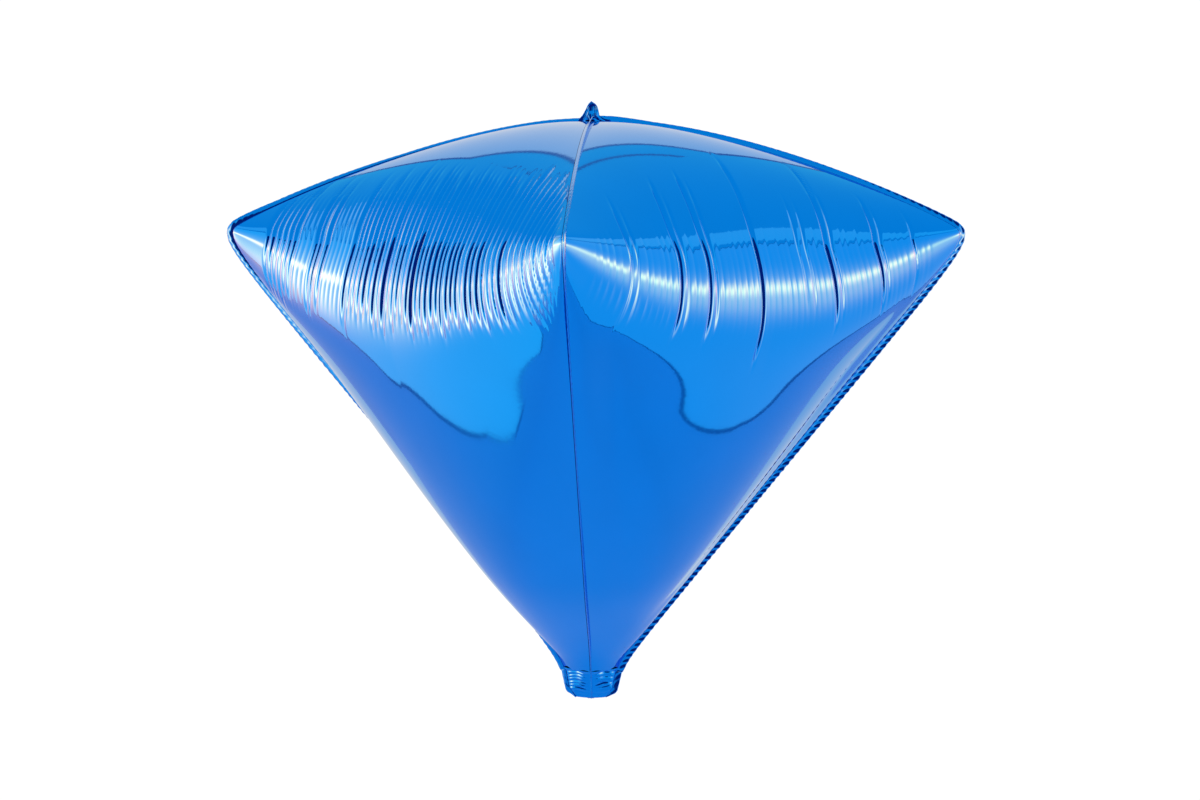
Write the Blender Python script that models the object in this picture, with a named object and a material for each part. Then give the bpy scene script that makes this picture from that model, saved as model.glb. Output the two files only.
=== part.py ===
"""Diamond-shaped foil balloon, filled: four kite panels, the flanges where they are sealed
together, a hanging tab at the apex and a gathered neck with its valve.

The neck's lower end is at z = 0, the axis is Z and the four corners lie on the X and Y axes.
Each panel and each flange is built facing -Y, turned to its own quarter and, near the
neck, pressed flat between front and back, as the film is there.
"""

import math

import bmesh
import bpy
from mathutils import Matrix, Vector

# Driving dimensions in metres
CORNER_REACH = 0.2662       # axis to a corner, before the corner is rounded off
APEX_RISE = 0.0760          # apex above the plane of the corners
SEAM_DROP = 0.3320          # that plane to the panels' lower ends
NECK_LENGTH = 0.0230
FLANGE_WIDTH = 0.0049
FOIL = 0.0012               # panel wall
FLANGE_THICK = 0.0010
GAP = 0.0003

# Seam line: a domed curve above the corner, an eased straight line below it
DOME_POWER = 1.72
SEAM_SLOPE = 0.784          # radius lost for each metre of drop
CORNER_EASE = 0.0118
CORNER_ROUND = 0.016        # share of each seam over which its corner is rounded
APEX_RADIUS = 0.0100        # where the panels end under the hanging tab
NECK_RADIUS = 0.0160
NECK_EASE = 0.0100

# Middle of a panel: two arcs of a superellipse that meet where the panel is widest
BELLY_REACH = 0.1770
BELLY_DROP = 0.0600         # widest place below the plane of the corners
CROWN_POWER = 2.19
KEEL_DEPTH = 0.2800
KEEL_POWER_OUT = 1.20
KEEL_POWER_DOWN = 1.35
KEEL_END_REACH = 0.0140     # least reach of the middle, where it runs into the neck
KEEL_END_EASE = 0.0060
CORNER_SAG = 0.0090         # how far the corner row dips at the middle
LOBE_SAG = 0.0450
MID_SHARE = 0.7196          # middle reach over seam reach, near the apex
MID_PINCH = 0.0910          # and how much less it is at the corner row
MID_PINCH_POWER = 3.5

# Across a panel
CROWN_ACROSS = 2.2
SWELL = 0.0140              # round shoulders beside each corner
SWELL_CENTRE = 0.12
SWELL_SPREAD = 0.12
SWELL_POWER = 1.5           # how close to the seams the shoulders lie
CLEARANCE_POWER = 4         # how soon a panel's room for the flanges fades away from the seams
INNER_EASE = 0.09           # rounding of the corner row, away from the seams

# The lower end is pressed flat between front and back
PRESS_TOP = 0.110           # height where that starts
PRESS_END = 0.22            # share of the depth left at the neck's lower end

# Hanging tab and neck
TAB_RISE = 0.0148
TAB_THICK = 0.0014
TAB_TOP_RADIUS = 0.0045
TAB_FOOT_HALF = 0.0074
TAB_FOOT_SHARE = 0.45       # of the gather's height, where the plate starts inside it
TAB_HOLE_RADIUS = 0.0021
GATHER_RISE = 0.0046
GATHER_TOP_SHARE = 0.85     # of the plate's half width
GATHER_POWER = 1.6
PLEATS = 8
PLEAT_SHARE = 0.10
NECK_TOP_RADIUS = 0.0192
NECK_HEEL_RADIUS = 0.0163
NECK_END_RADIUS = 0.0110
NECK_HEEL_HEIGHT = 0.0069   # below it the film's corners are cut away
NECK_FACE_DIP = 0.14        # share by which the middle of each side lies further in
NECK_CREASES = 5
NECK_CREASE_DEPTH = 0.0005
FLANGE_INNER_SHARE = 0.3    # of the flange's width, inside the seal line
FLANGE_TOP_RADIUS = 0.0076  # its upper end, beside the tab
FLANGE_TOE_SHARE = 0.12     # width left at the neck's lower end
LIP_WIDTH = 0.0050
LIP_DROP = 0.0012

# Mesh density
PANEL_COLUMNS = 16
PANEL_ROWS = 32
PANEL_CROWDING = 0.45       # row spacing at the corner over the mean spacing
SEAM_STEPS = 22
SEAM_CROWDING = 0.25
RING_SIDES = 32
CREASE_STEPS = 4
GATHER_STEPS = 4
TAB_ARC_STEPS = 12
HOLE_SIDES = 20
CUTTER_LENGTH = TAB_THICK * 8
PANEL_SHARP_ANGLE = 60.0    # degrees
SHARP_ANGLE = 40.0

CORNER_HEIGHT = NECK_LENGTH + SEAM_DROP
CROWN_RISE = APEX_RISE + BELLY_DROP
SEAM_CLEARANCE = FLANGE_THICK / 2 + GAP
GATHER_FOOT = CORNER_HEIGHT + APEX_RISE + GAP * 2
ROOT_HALF = math.sqrt(0.5)
NORMAL_STEP = 0.002         # share of a panel over which its normal is measured
LEVEL_LIMIT = 0.05          # a normal with less than this towards +Y counts as upright
EDGE_TOLERANCE = 1e-6

FOIL_BLUE = (0.004, 0.215, 0.700)
FILM_DARK = (0.010, 0.060, 0.200)


def clear_scene():
    for old in list(bpy.data.objects):
        bpy.data.objects.remove(old, do_unlink=True)


def make_material(name, colour, metallic, roughness):
    material = bpy.data.materials.new(name)
    material.use_nodes = True
    shader = material.node_tree.nodes["Principled BSDF"]
    shader.inputs["Base Color"].default_value = (*colour, 1.0)
    shader.inputs["Metallic"].default_value = metallic
    shader.inputs["Roughness"].default_value = roughness
    return material


def make_object(name, bm, material, smooth_angle=SHARP_ANGLE):
    mesh = bpy.data.meshes.new(name)
    bm.to_mesh(mesh)
    bm.free()
    mesh.shade_smooth()
    mesh.set_sharp_from_angle(angle=math.radians(smooth_angle))
    mesh.materials.append(material)
    made = bpy.data.objects.new(name, mesh)
    bpy.context.scene.collection.objects.link(made)
    return made


def eased_max(a, b, ease):
    return (a + b + math.hypot(a - b, ease)) / 2


def eased_min(a, b, ease):
    return (a + b - math.hypot(a - b, ease)) / 2


def crowded(share, crowding):
    """Moves stations between -1 and 1 closer to 0, where the corner is."""
    return share * (crowding + (1 - crowding) * abs(share))


def lower_seam_radius(drop):
    """Radius of the seal line at a depth below the corner plane."""
    line = CORNER_REACH - SEAM_SLOPE * (math.hypot(drop, CORNER_EASE) - CORNER_EASE)
    return eased_max(line, NECK_RADIUS, NECK_EASE)


def seam_point(along, ease=CORNER_ROUND):
    """Radius and height of the seal line: along is -1 at the apex, 0 at the corner, 1 at the neck."""
    above = eased_min(along, 0.0, ease)
    below = eased_max(along, 0.0, ease)
    radius = CORNER_REACH + above * (CORNER_REACH - APEX_RADIUS)
    rise = APEX_RISE * (1 - (radius / CORNER_REACH) ** DOME_POWER)
    drop = below * SEAM_DROP
    return radius + lower_seam_radius(drop) - CORNER_REACH, CORNER_HEIGHT + rise - drop


def middle_point(along):
    """Reach and height of the line down the middle of a panel."""
    radius, height = seam_point(along, ease=0.0)
    if along <= 0:
        pinch = MID_PINCH * (radius / CORNER_REACH) ** MID_PINCH_POWER
        reach = radius * (MID_SHARE - pinch)
        share = 1 - (reach / BELLY_REACH) ** CROWN_POWER
        return reach, CORNER_HEIGHT - BELLY_DROP + CROWN_RISE * share ** (1 / CROWN_POWER)
    sag = (1 - along) * (CORNER_SAG + LOBE_SAG * along)
    under_belly = CORNER_HEIGHT - BELLY_DROP - (height - sag)
    if under_belly <= 0:
        share = 1 - (-under_belly / CROWN_RISE) ** CROWN_POWER
        return BELLY_REACH * share ** (1 / CROWN_POWER), height - sag
    share = 1 - (under_belly / KEEL_DEPTH) ** KEEL_POWER_DOWN
    reach = BELLY_REACH * share ** (1 / KEEL_POWER_OUT)
    return eased_max(reach, KEEL_END_REACH, KEEL_END_EASE), height - sag


def panel_point(across, along):
    """Outer face of the panel between the front and right seams, middle line turned to -Y.

    across runs from -1 at one seam to 1 at the other.
    """
    side = abs(across)
    seam_radius, seam_height = seam_point(along, CORNER_ROUND + INNER_EASE * (1 - side))
    middle_reach, middle_height = middle_point(along)
    chord = seam_radius * ROOT_HALF
    crown = 1 - side ** CROWN_ACROSS
    swell = SWELL * math.exp(-(((along - SWELL_CENTRE) / SWELL_SPREAD) ** 2))
    shoulder = swell * math.sqrt(1 - side) * side ** SWELL_POWER
    reach = chord + (middle_reach - chord) * crown + shoulder
    height = seam_height + (middle_height - seam_height) * crown
    clear = SEAM_CLEARANCE * ROOT_HALF
    return Vector((across * (chord - clear), -(reach + side ** CLEARANCE_POWER * clear), height))


def inward_direction(across, along):
    """Unit vector into the balloon; on the two edges it stays in the plane of the seam."""
    low_across = max(-1.0, across - NORMAL_STEP)
    high_across = min(1.0, across + NORMAL_STEP)
    low_along = max(-1.0, along - NORMAL_STEP)
    high_along = min(1.0, along + NORMAL_STEP)
    sideways = panel_point(high_across, along) - panel_point(low_across, along)
    downwards = panel_point(across, high_along) - panel_point(across, low_along)
    inward = sideways.cross(downwards).normalized()
    if inward.y < 0 or (abs(inward.y) < LEVEL_LIMIT and inward.z > 0):
        inward = -inward
    if abs(across) < 1 - EDGE_TOLERANCE:
        return inward
    across_seam = seam_side(math.copysign(1.0, across))
    inward -= inward.dot(across_seam) * across_seam
    return inward.normalized()


def seam_side(side):
    """Unit vector from one seam's plane towards the middle of the panel."""
    return Vector((-side * ROOT_HALF, -ROOT_HALF, 0.0))


def clear_of_seams(place):
    """Moves a point of the inner face back to its own side of both flanges."""
    for side in (-1.0, 1.0):
        short = SEAM_CLEARANCE - place.dot(seam_side(side))
        if short > 0:
            place = place + short * seam_side(side)
    return place


def pressed(place):
    """Moves a point of the lower end towards the plane between front and back."""
    above = min(max(place.z / PRESS_TOP, 0.0), 1.0)
    share = PRESS_END + (1 - PRESS_END) * (1 - (1 - above) ** 2)
    beyond = max(abs(place.y) - SEAM_CLEARANCE, 0.0)
    return Vector((place.x, place.y - math.copysign(beyond * (1 - share), place.y), place.z))


def turn_and_press(bm, angle):
    """Turns a piece built facing -Y to its own quarter and presses its lower end."""
    turn = Matrix.Rotation(angle, 3, "Z")
    for vert in bm.verts:
        vert.co = pressed(turn @ vert.co)


def panel_mesh():
    bm = bmesh.new()
    bmesh.ops.create_grid(bm, x_segments=PANEL_COLUMNS, y_segments=PANEL_ROWS, size=1.0)
    outer_faces = list(bm.faces)
    copied = bmesh.ops.duplicate(bm, geom=outer_faces)
    inner_faces = [item for item in copied["geom"] if isinstance(item, bmesh.types.BMFace)]
    inner_verts = {vert for face in inner_faces for vert in face.verts}
    for vert in bm.verts:
        across, along = vert.co.x, crowded(-vert.co.y, PANEL_CROWDING)
        place = panel_point(across, along)
        if vert in inner_verts:
            place = clear_of_seams(place + FOIL * inward_direction(across, along))
        vert.co = place
    edges = [edge for edge in bm.edges if edge.is_boundary]
    bmesh.ops.bridge_loops(bm, edges=edges)
    bmesh.ops.recalc_face_normals(bm, faces=bm.faces)
    return bm


def seam_outline():
    """Pairs of inner and outer points of a flange in its own plane, from the apex to the neck."""
    stations = [crowded(step / SEAM_STEPS, SEAM_CROWDING) for step in range(-SEAM_STEPS, SEAM_STEPS)]
    pairs = []
    for along in stations:
        point, out = seal_line(along)
        pairs.append((point - out * FLANGE_WIDTH * FLANGE_INNER_SHARE, point + out * FLANGE_WIDTH))
    pairs[0][1].x = FLANGE_TOP_RADIUS
    return pairs + neck_pairs()


def seal_line(along, step=0.004):
    """Point of the seal line and the unit vector out of the balloon there."""
    direction = Vector(seam_point(along + step)) - Vector(seam_point(along - step))
    direction.normalize()
    return Vector(seam_point(along)), Vector((-direction.y, direction.x))


def neck_pairs():
    """The flange beside the neck, cut off slanting at its lower end."""
    panel_end = Vector(seam_point(1.0))
    above = NECK_LENGTH + GAP
    below = NECK_LENGTH - GAP
    top = neck_seam_radius(below) + GAP
    heel = neck_seam_radius(NECK_HEEL_HEIGHT) + GAP
    toe = neck_seam_radius(GAP) + GAP
    return [
        (Vector((panel_end.x - SEAM_CLEARANCE, above)), Vector((panel_end.x + FLANGE_WIDTH, above))),
        (Vector((top, below)), Vector((top + FLANGE_WIDTH, below))),
        (Vector((heel, NECK_HEEL_HEIGHT)), Vector((heel + FLANGE_WIDTH, NECK_HEEL_HEIGHT))),
        (Vector((toe, GAP)), Vector((toe + FLANGE_WIDTH * FLANGE_TOE_SHARE, GAP))),
    ]


def flange_mesh():
    bm = bmesh.new()
    rows = []
    for pair in seam_outline():
        rows.append([bm.verts.new((-FLANGE_THICK / 2, -point.x, point.y)) for point in pair])
    for (near, far), (next_near, next_far) in zip(rows, rows[1:]):
        bm.faces.new([near, far, next_far, next_near])
    thicken(bm, (FLANGE_THICK, 0, 0))
    return bm


def thicken(bm, step):
    """Sweeps a flat sheet along step into a closed plate."""
    swept = bmesh.ops.extrude_face_region(bm, geom=bm.faces[:], use_keep_orig=True)
    moved = [item for item in swept["geom"] if isinstance(item, bmesh.types.BMVert)]
    bmesh.ops.translate(bm, verts=moved, vec=step)
    bmesh.ops.recalc_face_normals(bm, faces=bm.faces)


def ring(bm, place_at, height):
    """One closed loop of edges round the axis, its points a function of the angle and the height."""
    made = bmesh.ops.create_circle(bm, cap_ends=False, segments=RING_SIDES, radius=1.0)
    for vert in made["verts"]:
        vert.co = place_at(math.atan2(vert.co.y, vert.co.x), height)
    return [edge for edge in bm.edges if all(vert in made["verts"] for vert in edge.verts)]


def loft(bm, rings):
    """Bridges each ring to the next and closes both ends."""
    for lower, upper in zip(rings, rings[1:]):
        bmesh.ops.bridge_loops(bm, edges=lower + upper)
    bmesh.ops.holes_fill(bm, edges=rings[0] + rings[-1], sides=0)
    bmesh.ops.recalc_face_normals(bm, faces=bm.faces)


def neck_seam_radius(height):
    """Radius of the neck at its four seams."""
    if height < NECK_HEEL_HEIGHT:
        return NECK_END_RADIUS + (NECK_HEEL_RADIUS - NECK_END_RADIUS) * height / NECK_HEEL_HEIGHT
    share = (height - NECK_HEEL_HEIGHT) / (NECK_LENGTH - NECK_HEEL_HEIGHT)
    return NECK_HEEL_RADIUS + (NECK_TOP_RADIUS - NECK_HEEL_RADIUS) * share


def neck_place(angle, height):
    """Point of the neck's skin: ridged at the seams, creased across each face."""
    to_face = (1 - math.cos(4 * angle)) / 2
    crease = math.sin(2 * math.pi * NECK_CREASES * height / NECK_LENGTH)
    radius = neck_seam_radius(height) * (1 - NECK_FACE_DIP * to_face)
    radius += NECK_CREASE_DEPTH * crease * to_face
    return pressed(Vector((radius * math.cos(angle), radius * math.sin(angle), height)))


def neck_mesh():
    bm = bmesh.new()
    steps = NECK_CREASES * CREASE_STEPS
    top = NECK_LENGTH - GAP
    rings = []
    for step in range(steps + 1):
        height = top * step / steps
        rings.append(ring(bm, neck_place, height))
    loft(bm, rings)
    return bm


def gather_place(angle, height):
    """Pleated crown under the tab, round at its foot and flat at its top."""
    share = min((height - GATHER_FOOT) / GATHER_RISE, 1.0)
    foot_radius = APEX_RADIUS - GAP
    half_x = foot_radius * (1 - share) + TAB_FOOT_HALF * GATHER_TOP_SHARE * share
    half_y = foot_radius * (1 - share) ** GATHER_POWER + TAB_THICK * share
    pleat = 1 - PLEAT_SHARE * math.cos(PLEATS * angle) * (1 - share)
    return Vector((half_x * math.cos(angle) * pleat, half_y * math.sin(angle) * pleat, height))


def gather_mesh():
    bm = bmesh.new()
    rings = []
    for step in range(GATHER_STEPS + 1):
        rings.append(ring(bm, gather_place, GATHER_FOOT + GATHER_RISE * step / GATHER_STEPS))
    loft(bm, rings)
    return bm


def tab_plate_mesh():
    """Flat tab: a tapering foot under a round head."""
    apex = CORNER_HEIGHT + APEX_RISE
    centre = apex + TAB_RISE - TAB_TOP_RADIUS
    foot = apex + GATHER_RISE * TAB_FOOT_SHARE
    slope = math.asin((TAB_FOOT_HALF - TAB_TOP_RADIUS) / (centre - foot))
    outline = [Vector((TAB_FOOT_HALF, 0, foot)), Vector((-TAB_FOOT_HALF, 0, foot))]
    for step in range(TAB_ARC_STEPS + 1):
        angle = math.pi - slope - step / TAB_ARC_STEPS * (math.pi - 2 * slope)
        arc = Vector((math.cos(angle), 0, math.sin(angle))) * TAB_TOP_RADIUS
        outline.append(Vector((0, 0, centre)) + arc)
    bm = bmesh.new()
    bm.faces.new([bm.verts.new(point + Vector((0, -TAB_THICK / 2, 0))) for point in outline])
    thicken(bm, (0, TAB_THICK, 0))
    return bm


def hole_cutter_mesh():
    centre = CORNER_HEIGHT + APEX_RISE + TAB_RISE - TAB_TOP_RADIUS
    upright = Matrix.Translation((0, 0, centre)) @ Matrix.Rotation(math.pi / 2, 4, "X")
    bm = bmesh.new()
    bmesh.ops.create_cone(bm, cap_ends=True, segments=HOLE_SIDES, radius1=TAB_HOLE_RADIUS,
                          radius2=TAB_HOLE_RADIUS, depth=CUTTER_LENGTH, matrix=upright)
    return bm


def make_helper(name, bm, material):
    """A shape that joins or cuts another and isn't part of the balloon itself."""
    helper = make_object(name, bm, material)
    helper.hide_render = True
    helper.display_type = "WIRE"
    return helper


def add_boolean(target, helper, operation):
    modifier = target.modifiers.new(operation.title(), "BOOLEAN")
    modifier.operation = operation
    modifier.solver = "EXACT"
    modifier.object = helper


def build_panels(material):
    names = ["panel_front_right", "panel_back_right", "panel_back_left", "panel_front_left"]
    for quarter, name in enumerate(names):
        bm = panel_mesh()
        turn_and_press(bm, math.pi / 4 + quarter * math.pi / 2)
        make_object(name, bm, material, smooth_angle=PANEL_SHARP_ANGLE)


def build_flanges(material):
    names = ["seam_front", "seam_right", "seam_back", "seam_left"]
    for quarter, name in enumerate(names):
        bm = flange_mesh()
        turn_and_press(bm, quarter * math.pi / 2)
        make_object(name, bm, material)


def build_hang_tab(material):
    tab = make_object("hang_tab", gather_mesh(), material)
    add_boolean(tab, make_helper("tab_plate_helper", tab_plate_mesh(), material), "UNION")
    add_boolean(tab, make_helper("tab_hole_helper", hole_cutter_mesh(), material), "DIFFERENCE")


def build_neck(material):
    make_object("neck", neck_mesh(), material)


def build_valve_lip(material):
    """End of the valve film, showing below the neck."""
    bm = bmesh.new()
    bmesh.ops.create_cube(bm, size=1.0)
    bmesh.ops.scale(bm, vec=(LIP_WIDTH, FLANGE_THICK, LIP_DROP - GAP), verts=bm.verts)
    bmesh.ops.translate(bm, vec=(0, 0, -(LIP_DROP + GAP) / 2), verts=bm.verts)
    make_object("valve_lip", bm, material)


def main():
    clear_scene()
    build_panels(make_material("panel_foil", FOIL_BLUE, metallic=1.0, roughness=0.12))
    build_flanges(make_material("seam_foil", FOIL_BLUE, metallic=1.0, roughness=0.22))
    build_hang_tab(make_material("tab_foil", FOIL_BLUE, metallic=1.0, roughness=0.20))
    build_neck(make_material("neck_foil", FOIL_BLUE, metallic=1.0, roughness=0.20))
    build_valve_lip(make_material("valve_film", FILM_DARK, metallic=0.0, roughness=0.35))


main()
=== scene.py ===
# %% [markdown]
# # A diamond-shaped foil balloon
#
# The balloon is four kites of metallised film, heat sealed edge to edge and filled with gas. The packed
# solids say where everything is. This script gives the film its folds, its mirror finish and the small
# crinkled pieces at the top and the bottom, then sets up a plain studio for the film to mirror.

# %% Frame
import math
import random

import bmesh
import bpy
import numpy as np
from mathutils import Matrix, Vector


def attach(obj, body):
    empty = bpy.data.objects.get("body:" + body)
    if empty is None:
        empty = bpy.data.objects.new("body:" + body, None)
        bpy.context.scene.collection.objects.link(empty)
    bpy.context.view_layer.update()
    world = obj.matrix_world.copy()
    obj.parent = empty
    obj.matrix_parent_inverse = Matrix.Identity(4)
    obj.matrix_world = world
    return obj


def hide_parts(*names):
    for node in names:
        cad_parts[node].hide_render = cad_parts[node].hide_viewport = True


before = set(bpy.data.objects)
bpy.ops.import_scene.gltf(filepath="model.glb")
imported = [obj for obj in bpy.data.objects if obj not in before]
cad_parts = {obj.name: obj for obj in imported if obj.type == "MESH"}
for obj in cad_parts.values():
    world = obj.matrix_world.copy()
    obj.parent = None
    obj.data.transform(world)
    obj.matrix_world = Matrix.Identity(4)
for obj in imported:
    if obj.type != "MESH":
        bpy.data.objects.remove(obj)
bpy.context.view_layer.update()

MM = 0.001
print("solids", sorted(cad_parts))

# %% [markdown]
# ## Sizes
#
# A filled film balloon is a tent of seams with the film blown out between them. The seam line of each
# quarter is a domed curve above the corner and a nearly straight one below it. The script repeats the
# driving sizes of the solids, because every wrinkle is placed by how far along those lines it lies.

# %% Sizes shared with the solids
NECK_LENGTH = 0.0230
CORNER_REACH = 0.2662
APEX_RISE = 0.0760
SEAM_DROP = 0.3320
CORNER_HEIGHT = NECK_LENGTH + SEAM_DROP
APEX_HEIGHT = CORNER_HEIGHT + APEX_RISE
APEX_RADIUS = 0.0100
FLANGE_WIDTH = 0.0049
# Seam line
DOME_POWER = 1.72
SEAM_SLOPE = 0.784
CORNER_EASE = 0.0118
CORNER_ROUND = 0.016
NECK_RADIUS = 0.0160
NECK_EASE = 0.0100
# Middle of a panel, and how the film swells between it and the seams
BELLY_REACH = 0.1770
BELLY_DROP = 0.0600
CROWN_RISE = APEX_RISE + BELLY_DROP
CROWN_POWER = 2.19
KEEL_DEPTH = 0.2800
KEEL_POWER_OUT = 1.20
KEEL_POWER_DOWN = 1.35
KEEL_END_REACH = 0.0140
KEEL_END_EASE = 0.0060
CORNER_SAG = 0.0090
LOBE_SAG = 0.0450
MID_SHARE = 0.7196
MID_PINCH = 0.0910
MID_PINCH_POWER = 3.5
CROWN_ACROSS = 2.2
SWELL = 0.0140
SWELL_CENTRE = 0.12
SWELL_SPREAD = 0.12
INNER_EASE = 0.09
# Lower end, pressed flat between front and back
PRESS_TOP = 0.110
PRESS_END = 0.22
# Tab and neck
TAB_RISE = 0.0148
NECK_TOP_RADIUS = 0.0192
NECK_HEEL_RADIUS = 0.0163
NECK_END_RADIUS = 0.0110
NECK_HEEL_HEIGHT = 0.0069
ROOT_HALF = math.sqrt(0.5)
FILM_HALF = 0.15 * MM         # half the thickness of a sealed edge
print("corner height", CORNER_HEIGHT, "apex height", APEX_HEIGHT)

# %% [markdown]
# ## Camera
#
# The picture looks at one corner almost head on, from just above the height of the corners. The lens is
# a 40 mm on a 36 mm wide sensor, about a metre away, which is why the near corner looks so big.

# %% Camera
CAMERA_DISTANCE = 0.9727
CAMERA_RISE = 0.0165          # above the plane of the corners
CAMERA_ROUND = 3.353          # degrees to the right of the front corner
CAMERA_PAN = 0.388            # degrees, as the next two
CAMERA_TILT = -8.320
CAMERA_ROLL = 0.095
LENS = 39.87                  # mm
SENSOR_WIDTH = 36.0


def make_camera():
    round_angle = math.radians(CAMERA_ROUND)
    data = bpy.data.cameras.new("studio_camera")
    data.lens = LENS
    data.sensor_width = SENSOR_WIDTH
    data.clip_start = 0.01
    camera = bpy.data.objects.new("studio_camera", data)
    bpy.context.scene.collection.objects.link(camera)
    place = Vector((math.sin(round_angle), -math.cos(round_angle), 0)) * CAMERA_DISTANCE
    place.z = CORNER_HEIGHT + CAMERA_RISE
    heading = Matrix.Rotation(math.radians(CAMERA_ROUND - CAMERA_PAN), 4, "Z")
    tilt = Matrix.Rotation(math.radians(90 + CAMERA_TILT), 4, "X")
    roll = Matrix.Rotation(math.radians(CAMERA_ROLL), 4, "Z")
    camera.matrix_world = Matrix.Translation(place) @ heading @ tilt @ roll
    bpy.context.scene.camera = camera
    return camera


camera = make_camera()
print("camera at", [round(value, 3) for value in camera.location])

# %% [markdown]
# ## Helpers for meshes and materials
#
# Every piece here is a mesh whose points already lie in the balloon's own frame. A material is a chain of
# nodes, so one helper adds a node with its settings and its links.

# %% Helpers
def add_node(tree, kind, inputs=None, **settings):
    """Adds a node. An input's value is a number, a colour, or a socket to link from."""
    node = tree.nodes.new(kind)
    for name, value in settings.items():
        setattr(node, name, value)
    for key, value in (inputs or {}).items():
        if isinstance(value, bpy.types.NodeSocket):
            tree.links.new(value, node.inputs[key])
        else:
            node.inputs[key].default_value = value
    return node


def linear(hex_colour):
    """sRGB hex to linear RGBA."""
    parts = [int(hex_colour[i:i + 2], 16) / 255 for i in (1, 3, 5)]
    return [c / 12.92 if c <= 0.04045 else ((c + 0.055) / 1.055) ** 2.4 for c in parts] + [1.0]


def new_material(name):
    material = bpy.data.materials.new(name)
    material.use_nodes = True
    tree = material.node_tree
    tree.nodes.clear()
    return material, tree


def finish_mesh(name, bm, material):
    mesh = bpy.data.meshes.new(name)
    bm.to_mesh(mesh)
    bm.free()
    mesh.materials.append(material)
    mesh.shade_smooth()
    piece = bpy.data.objects.new(name, mesh)
    bpy.context.scene.collection.objects.link(piece)
    return piece


def triangle_count(piece):
    return sum(len(polygon.vertices) - 2 for polygon in piece.data.polygons)


def smooth_step(value, low, high):
    share = np.clip((value - low) / (high - low), 0.0, 1.0)
    return share * share * (3 - 2 * share)


# %% [markdown]
# ## Mirror film
#
# Party balloons are cut from a nylon film with a few hundredths of a micron of aluminium on it, then
# printed with clear coloured lacquer. To the eye that is a metal: it mirrors the room in blue when seen
# straight on, and in plain white along its rims, where the lacquer no longer filters the light. A metallic
# Principled shader does just that. The film is not quite flat: it has a faint orange peel 3 mm across.

# %% Film materials
FILM_BLUE = "#0D9CF6"
SEAL_BLUE = "#0D98F0"
# the valve tongue's colour: an opaque dark navy, not the clear film's own look
TONGUE_DARK_NAVY = "#0B2F66"
CLOUD_SCALE = 18.0            # clouds in the lacquer about 55 mm across
CLOUD_TONE = 0.92
CLOUD_ROUGHNESS = (0.8, 1.3)


def film_material(name, colour, roughness, peel_size, peel_height, peel_strength):
    material, tree = new_material(name)
    place = add_node(tree, "ShaderNodeTexCoord").outputs["Object"]
    peel = add_node(tree, "ShaderNodeTexNoise", {"Vector": place, "Scale": 1 / peel_size, "Detail": 2.0})
    bump = add_node(tree, "ShaderNodeBump",
                    {"Height": peel.outputs["Fac"], "Distance": peel_height, "Strength": peel_strength})
    cloud = add_node(tree, "ShaderNodeTexNoise", {"Vector": place, "Scale": CLOUD_SCALE, "Detail": 3.0})
    deeper = [CLOUD_TONE * c for c in linear(colour)[:3]] + [1.0]
    tone = add_node(tree, "ShaderNodeMix",
                    {"Factor": cloud.outputs["Fac"], "A": linear(colour), "B": deeper}, data_type="RGBA")
    smoothest, roughest = (roughness * share for share in CLOUD_ROUGHNESS)
    rough = add_node(tree, "ShaderNodeMapRange",
                     {"Value": cloud.outputs["Fac"], "To Min": smoothest, "To Max": roughest})
    shader = add_node(tree, "ShaderNodeBsdfPrincipled",
                      {"Base Color": tone.outputs["Result"], "Metallic": 1.0,
                       "Roughness": rough.outputs["Result"], "Normal": bump.outputs["Normal"]})
    add_node(tree, "ShaderNodeOutputMaterial", {"Surface": shader.outputs["BSDF"]})
    return material


panel_film = film_material("blue_metallised_nylon_film", FILM_BLUE, 0.045, 3 * MM, 0.006 * MM, 1.0)
seal_film = film_material("heat_sealed_film_edge", SEAL_BLUE, 0.11, 1.2 * MM, 0.02 * MM, 1.0)
neck_film = film_material("creased_neck_film", FILM_BLUE, 0.08, 2 * MM, 0.015 * MM, 1.0)
print("materials", [m.name for m in (panel_film, seal_film, neck_film)])


# %% [markdown]
# ## The film's outer surface
#
# A point of a panel is named by two numbers: across, from one seam to the other, and along, from the apex
# at -1 through the corner at 0 to the neck at 1. The formulas are those of the solids, for whole arrays
# at a time. Averaging each point with its neighbours up and down the film rounds the place where the
# formula changes from one arc to the next, because a mirror shows every kink.

# %% Panel surface
def eased_max(a, b, ease):
    return (a + b + np.hypot(a - b, ease)) / 2


def eased_min(a, b, ease):
    return (a + b - np.hypot(a - b, ease)) / 2


def lower_seam_radius(drop):
    line = CORNER_REACH - SEAM_SLOPE * (np.hypot(drop, CORNER_EASE) - CORNER_EASE)
    return eased_max(line, NECK_RADIUS, NECK_EASE)


def seam_line(along, ease=CORNER_ROUND):
    """Radius and height of the seal line."""
    above = eased_min(along, 0.0, ease)
    below = eased_max(along, 0.0, ease)
    radius = CORNER_REACH + above * (CORNER_REACH - APEX_RADIUS)
    rise = APEX_RISE * (1 - (radius / CORNER_REACH) ** DOME_POWER)
    drop = below * SEAM_DROP
    return radius + lower_seam_radius(drop) - CORNER_REACH, CORNER_HEIGHT + rise - drop


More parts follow.
